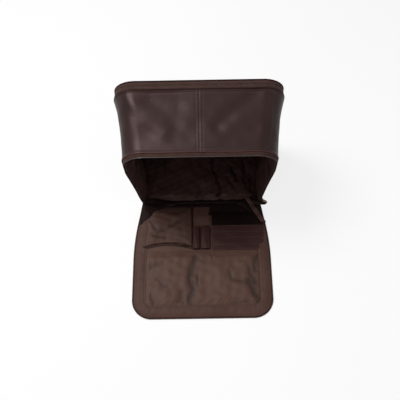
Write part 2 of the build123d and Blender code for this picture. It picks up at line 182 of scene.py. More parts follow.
class Amount:
    """A socket that holds a number and can be added, multiplied and so on."""

    def __init__(self, finish, socket):
        self.finish, self.socket = finish, socket

    def sum(self, operation, first, second):
        return Amount(self.finish, self.finish.node(
            "Math", {"operation": operation}, {0: first, 1: second}).outputs[0])

    def __add__(self, other):
        return self.sum("ADD", self, other)

    def __mul__(self, other):
        return self.sum("MULTIPLY", self, other)

    __radd__, __rmul__ = __add__, __mul__

    def size(self):
        return self.sum("ABSOLUTE", self, 0)

    def between(self, low, high):
        """0 at low, 1 at high, and held at both."""
        made = self.finish.node("MapRange", {}, {0: self, 1: low, 2: high, 3: 0.0, 4: 1.0})
        return Amount(self.finish, made.outputs[0])


class Finish:
    """A material or a world under way, with its nodes."""

    def __init__(self, name, kind=bpy.data.materials):
        self.material = kind.new(name)
        self.material.use_nodes = True
        self.tree = self.material.node_tree
        self.tree.nodes.clear()

    def node(self, kind, settings, sockets):
        made = self.tree.nodes.new("ShaderNode" + kind)
        for name, value in settings.items():
            if name == "stops":
                for stop, (place, colour) in zip(made.color_ramp.elements, value):
                    stop.position, stop.color = place, (*colour, 1)
            else:
                setattr(made, name, value)
        for name, value in sockets.items():
            if isinstance(value, Amount):
                value = value.socket
            if isinstance(value, bpy.types.NodeSocket):
                self.tree.links.new(value, made.inputs[name])
            elif isinstance(value, tuple) and made.inputs[name].type == "RGBA":
                made.inputs[name].default_value = (*value, 1)
            else:
                made.inputs[name].default_value = value
        return made

    def place(self):
        return self.node("TexCoord", {}, {}).outputs["Object"]

    def noise(self, scale, detail=2.0, stretch=(1, 1, 1)):
        spot = self.node("Mapping", {}, {"Vector": self.place(), "Scale": stretch}).outputs[0]
        made = self.node("TexNoise", {}, {"Vector": spot, "Scale": scale, "Detail": detail})
        return Amount(self, made.outputs["Fac"])

    def cells(self, scale):
        made = self.node("TexVoronoi", {"feature": "SMOOTH_F1"},
                         {"Vector": self.place(), "Scale": scale})
        return Amount(self, made.outputs["Distance"])

    def ramp(self, amount, low, high):
        stops = [(0.25, low), (0.75, high)]
        return self.node("ValToRGB", {"stops": stops}, {"Fac": amount}).outputs[0]

    def done(self, colour, roughness, height, depth, **steady):
        bump = self.node("Bump", {}, {"Height": height, "Distance": depth, "Strength": 1.0})
        sockets = {"Base Color": colour, "Roughness": roughness, "Normal": bump.outputs[0]}
        sockets.update({name.replace("_", " "): value for name, value in steady.items()})
        shader = self.node("BsdfPrincipled", {}, sockets)
        self.node("OutputMaterial", {}, {"Surface": shader.outputs[0]})
        return self.material


def leather(name, dark, light, gloss, shine=0.18, seam=False):
    """Smooth-grained hide: a fine pebbled grain, faint crinkles and a slightly uneven gloss, and painted
    shade along the middle seam when seam is set.
    """
    hide = Finish(name)
    cloud = hide.noise(7, 3)
    colour = hide.ramp(cloud, dark, light)
    if seam:
        # Painted shade: the colour turns near black within 2.6 mm of x = 0, for the shadow in the seam's
        # groove.
        apart = hide.node("SeparateXYZ", {}, {0: hide.place()}).outputs[0]
        shade = Amount(hide, apart).size().between(0.0006, 0.0026)
        colour = hide.node("Mix", {"data_type": "RGBA"}, {
            0: shade, 6: (0.008, 0.004, 0.004), 7: colour}).outputs[2]
    height = hide.cells(520) * 0.14 + hide.noise(70, 4, (1, 1, 2.4)) * 0.3 + hide.noise(22, 2) * 0.4
    return hide.done(colour, gloss + cloud * 0.14, height, 0.0009,
                     Specular_IOR_Level=shine, Specular_Tint=(1.0, 0.76, 0.72))


def wear(piece, material):
    piece.data.materials.clear()
    piece.data.materials.append(material)


HIDE = (0.011, 0.005, 0.0048), (0.0185, 0.0092, 0.0088)
case_leather = leather("case_leather", *HIDE, 0.34)
# The gusset's leather carries painted shade along its middle seam.
gusset_leather = leather("gusset_leather", *HIDE, 0.34, seam=True)


def skin(name, columns, rows, place, thickness, material, body=None, folds=None, angle=50,
         flipped=False):
    """A panel with its thickness and material, riding on a body where one is named."""
    piece = panel(name, columns, rows, place, folds)
    if flipped:
        piece.data.flip_normals()
    thicken(piece, thickness, angle)
    wear(piece, material)
    if body:
        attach(piece, body)
    return piece


def gusset(share, along):
    """The leather wall, with the sag, the soft folds and the seam's narrow groove."""
    y = blend_to(LEATHER_FRONT, LEATHER_BACK, along)
    way, off = share * ARCH_LENGTH, np.abs(share - 0.5) * ARCH_LENGTH
    up = np.minimum(share, 1 - share)
    middle = np.sin(math.pi * np.clip(along, 0, 1)) ** 0.7
    tent = 0.004 * np.sin(math.pi / 2 * np.clip(off / 0.17, 0, 1)) * middle
    sag = 0.0012 * middle + tent + 0.0012 * middle * drift(way, y, 0.17, 5)
    sag = sag + 0.0004 * middle * drift(way, y, 0.055, 8)
    pleats = np.clip(1 - up / 0.1, 0, 1) * np.sin(along * 26 + up * 70) * 0.0013
    folds = 0.0016 * crease(share, along, CORNER_FOLD, 0.0055)
    for height, wide, path in GUSSET_FOLDS:
        folds = folds + height * crease(share, along * DEPTH_SHARE, path, wide)
    lip = np.exp(-((along - 0.014) / 0.016)**2) + 0.6 * np.exp(-((1 - along) / 0.014)**2)
    sewn = np.exp(-((along - SEWN_FRONT) / 0.008)**2) + np.exp(-((SEWN_BACK - along) / 0.01)**2)
    seam = 0.0005 * np.exp(-(off / 0.0016)**2) + 0.0003 * np.exp(-((off - SEAM_ROW) / 0.0016)**2)
    return wall(share, y, sag + pleats - folds + seam - 0.0007 * lip + 0.0005 * sewn)


for side, start in (("left", 0.0), ("right", 0.5)):
    half = skin(f"gusset_leather_{side}", 260, 70, lambda across, along: gusset(
        start + across / 2, along), LEATHER, gusset_leather, "body")
    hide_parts(f"gusset_{side}")


# Stitches: waxed thread along the gusset's middle seam, its two long edges and the zips.
# Each stitch is a short rounded bar, half sunk in the leather.
def ahead_of(spots):
    step = np.gradient(spots, axis=0)
    return step / np.linalg.norm(step, axis=1, keepdims=True)


def spaced(spots, outs, pitch):
    """Places a pitch apart along a line of many places, with their outward directions."""
    outs = np.broadcast_to(outs, spots.shape)
    length = np.concatenate([[0], np.cumsum(np.linalg.norm(np.diff(spots, axis=0), axis=1))])
    wanted = np.linspace(0, length[-1], max(2, int(length[-1] / pitch) + 1))
    spots = np.stack([np.interp(wanted, length, spots[:, i]) for i in range(3)], axis=1)
    outs = np.stack([np.interp(wanted, length, outs[:, i]) for i in range(3)], axis=1)
    return spots, outs / np.linalg.norm(outs, axis=1, keepdims=True)


def repeated(name, pattern, spots, outs, pitch):
    """Copies of one small part set along a line, each turned to it, as one piece."""
    spots, outs = spaced(spots, outs, pitch)
    ahead = ahead_of(spots)
    across = np.cross(outs, ahead)
    shape = np.array([vertex.co for vertex in pattern.data.vertices])
    faces = [list(face.vertices) for face in pattern.data.polygons]
    corners = (spots[:, None] + shape[:, 0:1] * ahead[:, None]
               + shape[:, 1:2] * across[:, None] + shape[:, 2:3] * outs[:, None])
    count = len(shape)
    mesh = bpy.data.meshes.new(name)
    mesh.from_pydata(corners.reshape(-1, 3).tolist(), [],
                     [[i + n * count for i in face] for n in range(len(spots)) for face in faces])
    piece = bpy.data.objects.new(name, mesh)
    bpy.context.collection.objects.link(piece)
    bpy.ops.object.select_all(action="DESELECT")
    piece.select_set(True)
    bpy.context.view_layer.objects.active = piece
    bpy.ops.object.shade_smooth()
    return piece


def bead(length, width, height):
    """A small rounded part, to be copied along a line and then removed."""
    bpy.ops.object.select_all(action="DESELECT")
    bpy.ops.mesh.primitive_uv_sphere_add(segments=6, ring_count=4, radius=0.5)
    part = bpy.context.object
    bpy.ops.transform.resize(value=(length, width, height))
    bpy.ops.object.transform_apply(scale=True)
    return part


def mottled(name, clouds, dark, light, rough, specks, grain, depth, **steady):
    """A plain material; clouds, specks and grain are the noises of its colour, gloss and bump."""
    made = Finish(name)
    least, more = rough
    gloss = least + made.noise(*specks) * more if more else least
    return made.done(made.ramp(made.noise(*clouds), dark, light), gloss,
                     made.noise(*grain), depth, **steady)


STITCH_PITCH = 0.0046
thread = mottled("waxed_thread", (400, 1), (0.02, 0.012, 0.011), (0.055, 0.034, 0.03),
                 (0.45, 0.2), (900, 1), (2500, 1), 0.0001)
stitch = bead(0.003, 0.0008, 0.0007)


def sew(name, spots, outs, body, pitch=STITCH_PITCH):
    row = repeated(name, stitch, spots, outs, pitch)
    wear(row, thread)
    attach(row, body)


def wall_line(shares, y, inset):
    """Places and outward directions along the wall at one depth, from foot to foot."""
    spots = spots_of(wall(shares, y, inset))
    higher = spots_of(wall(shares, y, inset - 0.001))
    return spots, (higher - spots) / 0.001


round_shares = np.linspace(0.012, 0.988, 900)
for number, along in enumerate((SEWN_FRONT, SEWN_BACK), 1):
    spots = spots_of(gusset(round_shares, np.full_like(round_shares, along)))
    higher = spots_of(wall(round_shares, blend_to(LEATHER_FRONT, LEATHER_BACK, along), -0.002))
    sew(f"gusset_stitches_{number}", spots, higher - spots, "body")
along = np.linspace(0.03, 0.96, 200)
for number, offset in enumerate((-SEAM_ROW, SEAM_ROW), 1):
    spots = spots_of(gusset(np.full_like(along, 0.5 + offset / ARCH_LENGTH), along))
    sew(f"middle_stitches_{number}", spots, (0, -0.28, 0.96), "body")


# Zips: a coil of nylon loops on the edge of a woven tape. The mouth's tape shows 12 mm
# beyond the leather; the lid's is sewn under its border, and the rear pair meets in a line.
COIL_PITCH, CORE = 0.0019, 0.0008
ZIP_FROM, ZIP_TO = 0.0075, 0.9925
coil_nylon = mottled("zip_coil", (60, 2), (0.006, 0.0035, 0.0035), (0.02, 0.01, 0.01),
                     (0.3, 0.15), (90, 1), (900, 1), 0.0001)
weave = Finish("zip_tape")
ribs = weave.node("TexWave", {"bands_direction": "DIAGONAL"}, {
    "Vector": weave.place(), "Scale": 420.0, "Distortion": 1.5})
weave = weave.done(weave.ramp(weave.noise(45, 3), (0.026, 0.0115, 0.0088), (0.043, 0.0205, 0.016)),
                   0.66 + weave.noise(30, 1) * 0.12, Amount(weave, ribs.outputs["Fac"]), 0.0002,
                   Specular_IOR_Level=0.12)
loop = bead(0.0011, 0.003, 0.0021)


def tape(name, columns, place, width, length, body, *nodes):
    """A woven tape from a place function of the way along it and across it."""
    piece = skin(name, columns, 6, place, 0.0007, weave, body)
    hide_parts(*nodes)


def zip_coil(name, spots, outs, body, node, pitch=COIL_PITCH, nylon=coil_nylon):
    """Loops of nylon, a pitch apart along a line."""
    teeth = repeated(name, loop, spots, outs, pitch)
    wear(teeth, nylon)
    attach(teeth, body)
    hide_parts(node)


def tube(name, spots, outs, radius, sides=10, flat=1.0):
    """A round or oval rod along a line, its ends closed."""
    ahead = ahead_of(spots)
    outs = np.broadcast_to(outs, spots.shape)
    outs = outs / np.linalg.norm(outs, axis=1, keepdims=True)
    across = np.cross(outs, ahead)
    steps = len(spots) - 1

    def place(around, along):
        at = np.clip(np.rint(along * steps).astype(int), 0, steps)
        angle = around * math.tau
        return (spots[at] + radius * np.cos(angle)[:, None] * across[at]
                + radius * flat * np.sin(angle)[:, None] * outs[at]).T

    piece = panel(name, sides, steps, place)
    bpy.ops.object.mode_set(mode="EDIT")
    bpy.ops.mesh.select_all(action="SELECT")
    bpy.ops.mesh.remove_doubles(threshold=0.00001)
    bpy.ops.mesh.fill_holes(sides=0)
    bpy.ops.mesh.normals_make_consistent(inside=False)
    bpy.ops.object.mode_set(mode="OBJECT")
    bpy.ops.object.shade_smooth_by_angle(angle=math.radians(50))
    return piece


def rod(name, spots, outs, radius, sides, material, body):
    """A round tube that rides on one body."""
    piece = tube(name, spots, outs, radius, sides)
    wear(piece, material)
    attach(piece, body)
    return piece


zip_shares = np.linspace(ZIP_FROM, ZIP_TO, 700)
tape("mouth_tape", 400, lambda share, along: wall(
    blend_to(ZIP_FROM, ZIP_TO, share), blend_to(MOUTH_Y + 0.0004, MOUTH_Y + 0.019, along),
    0.0019 + 0.0006 * np.sin(share * 240) * along), 0.0186, 1.06, "body", "rim_zip_tape")
# Painted highlight: the mouth's turned edge is a rod of leather about three times lighter and redder
# than the case's, for the light along the fold.
mouth_edge_highlight = leather("turned_edge_highlight", (0.04, 0.015, 0.0135), (0.066, 0.028, 0.025), 0.36)
spots, outs = wall_line(np.linspace(0.004, 0.996, 700), MOUTH_Y + TAPE_SHOWN, 0.0006)
rod("gusset_turned_edge", spots, outs, 0.0013, 8, mouth_edge_highlight, "body")
spots, outs = wall_line(zip_shares, MOUTH_Y + 0.0002, 0.0022)
zip_coil("mouth_coil", spots, outs, "body", "rim_zip_coil")
rod("mouth_coil_core", spots, outs, CORE, 6, coil_nylon, "body")
sew("mouth_tape_stitches", *wall_line(zip_shares, MOUTH_Y + 0.0085, 0.0017), "body")


# Rear zip: a band 30 mm deep behind the gusset, between two leather pipings. Its tapes
# meet over the coil in one dark line.
def rear_line(shares, y, inset):
    """Places and outward directions round the straight-sided rear band."""
    x, v, out_x, out_v = arch(shares, BACK_HALF, BACK_HEIGHT, inset)
    outs = out_x, -out_v * math.sin(LEAN), out_v * math.cos(LEAN)
    return spots_of(upright(x, y, v)), spots_of(outs)


REAR_FROM, REAR_TO = 0.006, 0.994
BAND_MIDDLE = BACK_Y + 0.015
piping_leather = leather("piping_leather", (0.0085, 0.0032, 0.0026),
                         (0.014, 0.0058, 0.0048), 0.44, 0.07)
rear_shares = np.linspace(REAR_FROM, REAR_TO, 500)
for name, y in (("front", BACK_Y + 0.0016), ("back", BACK_Y + 0.0278)):
    piping = rod(f"piping_{name}", *rear_line(rear_shares, y, 0.002), 0.0022, 12,
                 piping_leather, "body")
    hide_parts(f"rear_piping_{name}")
for name, near, far in (("front", 0.0028, 0.015), ("back", 0.015, 0.0272)):
    def rear_tape(share, along):
        y = BACK_Y + blend_to(near, far, along)
        seam = np.exp(-((y - BAND_MIDDLE) / 0.0012)**2)
        inset = 0.0016 + 0.0012 * seam - 0.0006 * np.sin(math.pi * along)
        x, v = arch(blend_to(REAR_FROM, REAR_TO, share), BACK_HALF, BACK_HEIGHT, inset)[:2]
        return upright(x, y, v)
    tape(f"rear_tape_{name}", 400, rear_tape, 0.0122, 1.2, "body", f"rear_zip_tape_{name}")
zip_coil("rear_coil", *rear_line(rear_shares, BAND_MIDDLE, 0.003), "body", "rear_zip_coil")
for number, y in enumerate((BACK_Y + 0.0085, BACK_Y + 0.0215), 1):
    sew(f"rear_tape_stitches_{number}", *rear_line(rear_shares, y, 0.0011), "body")


# Back panel and base: leather over board, flat enough to stand and lie on, with the
# panel's edge drawn down to its piping.
PANEL_FACE, PANEL_START, PANEL_INSET = 0.1168, 0.002, 0.003
BEND_AT = 0.72  # share of a panel's rows below its round corners


def width_at(v, half, height, inset):
    """Half the arch's width at a distance up from its foot."""
    bend = CORNER - inset
    over = np.clip(v - (height - CORNER), 0, bend)
    return half - inset - tucked(v)[0] - (bend - np.sqrt(np.clip(bend**2 - over**2, 0, None)))


def rows_up(along, start, height, inset):
    """Heights for rows 0 to 1, close together round the corner at the top."""
    straight = blend_to(start, height - CORNER, along / BEND_AT)
    turn = np.clip((along - BEND_AT) / (1 - BEND_AT), 0, 1) * math.pi / 2
    return np.where(along < BEND_AT, straight, height - CORNER + (CORNER - inset) * np.sin(turn))


def back_sheet(across, along):
    v = rows_up(along, PANEL_START, BACK_HEIGHT, PANEL_INSET)
    half = width_at(v, BACK_HALF, BACK_HEIGHT, PANEL_INSET)
    x = blend_to(half, -half, across)
    rim = np.minimum(half - np.abs(x), np.minimum(BACK_HEIGHT - PANEL_INSET - v, v - PANEL_START))
    y = PANEL_FACE - 0.0011 * np.exp(-(rim / 0.008)**2) + 0.0003 * drift(x, v, 0.12, 3)
    return upright(x, y, v)


back_panel = skin("back_panel", 160, 160, back_sheet, LEATHER, case_leather, "body")
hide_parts("back_leather")

base_hide = skin("base_hide", 40, 24, lambda across, along: (
    blend_to(-1, 1, across) * blend_to(0.1735, 0.1968, along), blend_to(-0.0906, PANEL_FACE, along),
    0.0019 - 0.0006 * (np.abs(2 * across - 1) ** 30 + np.abs(2 * along - 1) ** 30)),
    0.0017, case_leather, "body")
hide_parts("base_leather")


# Lining: brown satin glued inside the case and over the padding of the lid, loose enough
# to pucker. Separate pieces cover the wall, the floor and the compartment's divider.
def satin(name, dark, light):
    """Brown satin with painted shade down in its folds, as deep as each piece's own fold attribute says.
    """
    cloth = Finish(name)
    cloud = cloth.noise(12, 3)
    deep = Amount(cloth, cloth.node("Attribute", {"attribute_name": "painted_fold_shade"}, {}).outputs["Fac"])
    height = cloth.noise(30, 3) * 0.9 + cloth.noise(110, 2, (1, 1.8, 1)) * 0.22
    # Painted shade: in the folds the colour falls towards a third of its dark stop.
    colour = cloth.node("Mix", {"data_type": "RGBA"}, {
        0: deep * 0.85, 6: cloth.ramp(cloud, dark, light),
        7: tuple(0.35 * part for part in dark)}).outputs[2]
    return cloth.done(colour, 0.5 + cloud * 0.12, height, 0.0016, Specular_IOR_Level=0.14)


# Painted shade: the case's lining is the lid's satin in a much darker colour, for the shade deep inside
# the case.
case_satin = satin("case_lining", (0.03, 0.0142, 0.0122), (0.048, 0.0238, 0.0205))
SATIN = 0.0009
WALL_FOLDS = (
    [(0.74, 0.00), (0.755, 0.35), (0.745, 0.80)], [(0.80, 0.10), (0.812, 0.50), (0.806, 0.95)],
    [(0.87, 0.00), (0.862, 0.45), (0.872, 0.90)], [(0.14, 0.10), (0.125, 0.80)],
    [(0.22, 0.00), (0.235, 0.60)],
)


def wall_creases(share, along):
    return sum(crease(share, along, path, 0.007) for path in WALL_FOLDS)


def wall_lining(share, along):
    y = blend_to(BACK_Y - 0.0008, MOUTH_Y + 0.001, along)
    slack = np.sin(math.pi * along) ** 0.7
    waves = 0.0028 * drift(share * 1.1, y, 0.1, 21) + 0.0013 * drift(share * 1.1, y, 0.035, 22)
    return wall(share, y, 0.0066 + slack * (0.0098 + waves - 0.005 * wall_creases(share, along)))


inside = skin("wall_lining", 360, 60, wall_lining, SATIN, case_satin, "body", wall_creases)
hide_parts("main_lining")


FLOOR_FRONT, FLOOR_BACK = MOUTH_Y + 0.006, BACK_Y - 0.0005
FLOOR_FOLDS = (  # depth and path of each
    (1.0, [(0.035, 0.065), (0.039, 0.033), (0.049, 0.000), (0.054, -0.033), (0.054, -0.062)]),
    (0.8, [(0.096, 0.036), (0.110, -0.014)]), (0.6, [(0.133, 0.064), (0.134, 0.010), (0.137, -0.040)]),
    (0.5, [(0.066, 0.061), (0.063, 0.040)]), (0.4, [(0.077, 0.001), (0.106, -0.045)]),
    (0.6, [(0.155, 0.000), (0.149, -0.052)]), (0.5, [(-0.114, 0.065), (-0.112, 0.020)]),
    (0.4, [(-0.006, -0.020), (-0.012, -0.066)]),
)


def floor_place(across, along):
    y = blend_to(FLOOR_FRONT, FLOOR_BACK, along)
    half = blend_to(0.17, 0.1925, along)
    return blend_to(-half, half, across), y, half


def floor_creases(across, along):
    x, y = floor_place(across, along)[:2]
    x = x + 0.003 * drift(x, y, 0.03, 33)
    return sum(deep * crease(x, y, path, 0.005) for deep, path in FLOOR_FOLDS)


def floor_lining(across, along):
    x, y, half = floor_place(across, along)
    rim = np.minimum(half - np.abs(x), np.minimum(y - FLOOR_FRONT, FLOOR_BACK - y))
    loose = np.clip(rim / 0.02, 0, 1)
    waves = 0.0014 * drift(x, y, 0.08, 31) + 0.0007 * drift(x, y, 0.03, 32)
    z = 0.0052 + loose * (0.0052 + waves - 0.0045 * np.clip(floor_creases(across, along), 0, 1))
    return x, y - z * math.tan(LEAN), z


floor = skin("floor_lining", 200, 100, floor_lining, SATIN, case_satin, "body", floor_creases)


DIVIDER_START, DIVIDER_INSET = 0.003, 0.006


def divider_lining(across, along):
    v = rows_up(along, DIVIDER_START, BACK_HEIGHT, DIVIDER_INSET)
    half = width_at(v, BACK_HALF, BACK_HEIGHT, DIVIDER_INSET)
    x = blend_to(-half, half, across)
    rim = np.minimum(half - np.abs(x), np.minimum(BACK_HEIGHT - DIVIDER_INSET - v, v - DIVIDER_START))
    loose = np.clip(rim / 0.03, 0, 1)
    waves = 0.0016 * drift(x, v, 0.12, 41) + 0.0008 * drift(x, v, 0.04, 42)
    return upright(x, BACK_Y - 0.0016 - loose * (0.0024 + waves), v)


divider = skin("divider_lining", 120, 120, divider_lining, SATIN, case_satin, "body")


# Lid: the same leather over a board, folded down flat in front of the case. A border 30 mm
# wide frames its satin lining, and the zip's other half runs round its edge.
LID_Y = -0.084
LID_START = 0.0075
BORDER_IN, BORDER_OUT = 0.037, 0.007
LINING_INSET, LINING_START = BORDER_IN - 0.006, 0.02
UP = np.array([0.0, 0.0, 1.0])


def flat(x, v, z):
    """A place on the open lid: v is the distance from the hinge towards the viewer."""
    return x, LID_Y - v, z


def lid_sheet(across, along, inset, start=LID_START):
    """Place across and down the lid for a grid that fills its outline; along 1 is the hinge."""
    v = rows_up(1 - along, start, MOUTH_HEIGHT, inset)
    half = width_at(v, MOUTH_HALF, MOUTH_HEIGHT, inset)
    return blend_to(-half, half, across), v, half


def lid_outer(across, along):
    x, v, half = lid_sheet(across, along, BORDER_OUT)
    rolled = np.exp(-((half - np.abs(x)) / 0.004)**2)
    return flat(x, v, 0.0019 - 0.0009 * rolled)


lid_under = skin("lid_outer_leather", 120, 120, lid_outer, 0.001, case_leather, "lid")
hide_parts("lid_leather")


def lid_line(share, inset):
    """The lid's outline, from one end of the hinge to the other."""
    return arch(share, MOUTH_HALF, MOUTH_HEIGHT, inset)[:2]


def border(share, along):
    """The border, sewn down at its inner edge and rolled over at its outer one."""
    x, v = lid_line(share, blend_to(BORDER_IN + 0.002, BORDER_OUT, along))
    crown = np.sin(math.pi * np.clip(along, 0.02, 0.98)) ** 0.6
    way, width = share * 1.05, along * 0.03
    waves = 0.0005 * drift(way, width, 0.09, 51) + 0.0003 * drift(way, width, 0.03, 52)
    edge = blend_to(0.0072, 0.0036, np.clip((along - 0.55) / 0.45, 0, 1) ** 1.6)
    sewn = 0.0007 * np.exp(-((along - 0.1) / 0.05)**2)
    return flat(x, np.maximum(v, LID_START), edge + crown * (0.0007 + waves) - sewn)


border_cloth = satin("lid_border_cloth", (0.047, 0.021, 0.0156), (0.061, 0.0292, 0.0222))
lid_frame = skin("lid_border", 420, 20, border, 0.0012, border_cloth, "lid")
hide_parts("lid_facing")
border_shares = np.linspace(0.02, 0.98, 800)
for name, along in (("inner", 0.13), ("outer", 0.9)):
    spots = spots_of(border(border_shares, np.full_like(border_shares, along)))
    sew(f"border_stitches_{name}", spots + UP * 0.0001, UP, "lid")


LID_FOLDS = (  # depth, width and path of each
    (1.0, 0.011, [(-0.020, 0.182), (-0.035, 0.238), (-0.030, 0.284), (-0.038, 0.326)]),
    (0.5, 0.006, [(-0.014, 0.241), (-0.014, 0.268)]),
    (0.8, 0.009, [(0.150, 0.177), (0.152, 0.223)]),
    (0.8, 0.010, [(0.134, 0.217), (0.140, 0.237), (0.150, 0.259)]),
    (1.0, 0.012, [(0.132, 0.259), (0.146, 0.285), (0.156, 0.306), (0.154, 0.322)]),
    (0.6, 0.006, [(-0.150, 0.199), (-0.152, 0.221)]),
    (0.7, 0.007, [(-0.144, 0.296), (-0.136, 0.324)]),
    (0.5, 0.009, [(-0.118, 0.195), (-0.144, 0.212)]),
    (0.5, 0.009, [(-0.125, 0.245), (-0.113, 0.260), (-0.099, 0.266)]),
    (0.6, 0.010, [(-0.059, 0.288), (-0.059, 0.312), (-0.077, 0.322)]),
    (0.5, 0.010, [(0.072, 0.228), (0.083, 0.246), (0.106, 0.254), (0.130, 0.256)]),
    (0.6, 0.009, [(0.082, 0.324), (0.094, 0.316), (0.127, 0.314)]),
    (0.4, 0.007, [(0.025, 0.168), (0.025, 0.186)]),
    (0.4, 0.008, [(-0.011, 0.179), (0.003, 0.202)]),
)


def lid_creases(across, along):
    """How deep in a crease each point is; the creases wander a little off their paths."""
    x, v = lid_sheet(across, along, LINING_INSET, LINING_START)[:2]
    bend_x = x + 0.004 * drift(x, v, 0.05, 63)
    bend_v = v + 0.004 * drift(x, v, 0.05, 64)
    return sum(deep * crease(bend_x, bend_v, path, wide * 0.8) for deep, wide, path in LID_FOLDS)


def lid_lining(across, along):
    """Satin over foam: flat under the organiser, in long soft folds on the rest."""
    x, v, half = lid_sheet(across, along, LINING_INSET, LINING_START)
    rim = np.minimum(half - np.abs(x), MOUTH_HEIGHT - LINING_INSET - v)
    loose = np.clip((rim - 0.006) / 0.024, 0, 1) ** 0.7 * np.clip((v - 0.16) / 0.022, 0, 1)
    window = 0.35 * np.exp(-(x / 0.017)**2 - ((v - 0.058) / 0.02)**2)
    waves = 0.0013 * drift(x, v, 0.11, 61) + 0.0006 * drift(x * 1.3, v, 0.045, 62)
    ripples = np.sin(x * 330 + v * 330 + 3 * drift(x, v, 0.1, 65))
    pucker = 0.0006 * ripples * np.exp(-((rim - 0.012) / 0.012)**2)
    sunk = 0.0034 * np.clip(lid_creases(across, along), 0, 1)
    lift = (loose + window) * (0.004 + waves) + loose * (pucker - sunk)
    return flat(x, v, 0.0058 + np.maximum(lift, 0))


lid_satin = satin("lid_lining_satin", (0.059, 0.0292, 0.0212), (0.072, 0.0366, 0.0274))
lining = skin("lid_satin", 210, 210, lid_lining, 0.0005, lid_satin, "lid", lid_creases)
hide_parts("lid_lining")

LID_ZIP_FROM, LID_ZIP_TO = 0.0245, 0.9755
tape("lid_tape", 400, lambda share, along: flat(
    *lid_line(blend_to(LID_ZIP_FROM, LID_ZIP_TO, share), blend_to(0.013, 0.0022, along)),
    0.0025 + 0.0002 * np.sin(share * 300)), 0.0108, 1.02, "lid", "lid_zip_tape")
spots = spots_of(flat(*lid_line(np.linspace(LID_ZIP_FROM, LID_ZIP_TO, 700), 0.0024), 0.0026))
zip_coil("lid_coil", spots, UP, "lid", "lid_zip_coil")
rod("lid_coil_core", spots, UP, CORE, 6, coil_nylon, "lid")


# Pouch: a flat pocket of lining satin at the left of the lid, closed by a thin zip that
# bows towards the hinge. Empty, so its front lies in soft puckers.
POUCH_LEFT, POUCH_RIGHT = -0.168, -0.0285
POUCH_START, POUCH_END, POUCH_BOW = 0.02, 0.149, 0.012
POUCH_FOLDS = (
    [(-0.153, 0.063), (-0.128, 0.099), (-0.093, 0.081), (-0.058, 0.060)],
    [(-0.140, 0.112), (-0.108, 0.118)], [(-0.098, 0.036), (-0.062, 0.040)],
)


def zip_line(across):
    """Distance of the pouch's zip from the hinge: its middle is nearer than its ends."""
    return POUCH_END - POUCH_BOW * (1 - (2 * across - 1)**2)


def pouch_place(across, along):
    end = zip_line(across) - 0.005
    return blend_to(POUCH_LEFT, POUCH_RIGHT, across), blend_to(end, POUCH_START, along), end


def pouch_creases(across, along):
    x, v = pouch_place(across, along)[:2]
    return sum(0.5 * crease(x, v, path, 0.006) for path in POUCH_FOLDS)


def pouch(across, along):
    x, v, end = pouch_place(across, along)
    rim = np.minimum(np.minimum(x - POUCH_LEFT, POUCH_RIGHT - x),
                     np.minimum(end - v + 0.004, v - POUCH_START))
    loose = np.clip(rim / 0.02, 0, 1) ** 0.7
    waves = 0.001 * drift(x, v, 0.07, 71) + 0.0005 * drift(x * 1.3, v, 0.03, 72)
    puff = 0.0044 + waves - 0.003 * pouch_creases(across, along)
    return flat(x, v, 0.0068 + loose * puff)


# Painted shade: the pouch is the lid's satin in a darker colour, for the shadow of the case over it.
shaded_pouch_satin = satin("shaded_pouch_satin", (0.05, 0.024, 0.0178), (0.062, 0.0305, 0.023))
pocket = skin("pouch_satin", 130, 110, pouch, 0.0007, shaded_pouch_satin, "lid", pouch_creases)
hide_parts("zip_pouch")
# Dark leather for the pouch's zip coil and the border end's edges, and for a painted shadow beside the
# pouch.
dark_trim_and_shade = leather("dark_trim_leather", (0.005, 0.0024, 0.0022),
                    (0.0085, 0.0042, 0.0038), 0.48, 0.08)
# Painted shadow: a dark rod along the pouch's right edge, for the shade in the gap beside it.
spots = spots_of(flat(POUCH_RIGHT + 0.0008, np.linspace(0.022, 0.137, 60), 0.0086))
rod("pouch_side_shadow", spots, UP, 0.0019, 8, dark_trim_and_shade, "lid")


def zip_across(across):
    return blend_to(POUCH_LEFT - 0.003, POUCH_RIGHT, across)


tape("pocket_tape", 120, lambda across, along: flat(
    zip_across(across), zip_line(across) + blend_to(0.0062, -0.0062, along),
    0.0082 + 0.001 * np.exp(-((along - 0.5) / 0.2)**2)), 0.0124, 0.141, "lid", "pocket_zip_tape")
across = np.linspace(0.01, 0.99, 200)
spots = spots_of(flat(zip_across(across), zip_line(across), 0.0094))
zip_coil("pocket_coil", spots, UP, "lid", "pocket_zip_coil", 0.0017, dark_trim_and_shade)


# Pen loops: two arches of thin leather, 21 and 29 mm wide, sewn to a backing strip beside
# the pouch. The hide is a shade redder than the case's.
TRIM = 0.0011
trim_leather = leather("trim_leather", (0.021, 0.0078, 0.007), (0.033, 0.013, 0.0118), 0.42, 0.14)
for side, left, right in (("left", -0.0267, -0.0053), ("right", -0.0047, 0.0247)):
    def pen_loop(across, along):
        angle = math.pi * (1 - across)
        middle, reach = (left + right) / 2, (right - left) / 2
        rise = 0.0085 + 0.0004 * drift(across * 0.05, along * 0.07, 0.03, 81)
        return flat(middle + reach * np.cos(angle), blend_to(0.156, 0.085, along),
                    0.0076 + rise * np.sin(angle) ** 0.8)
    arched = skin(f"pen_loop_leather_{side}", 30, 30, pen_loop, TRIM, trim_leather, "lid")
    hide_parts(f"pen_loop_{side}")
backing = skin("pen_loop_backing", 20, 24, lambda across, along: flat(
    blend_to(-0.027, 0.025, across), blend_to(0.1562, 0.0848, along), 0.0074),
    TRIM, trim_leather, "lid")
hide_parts("pen_backing")


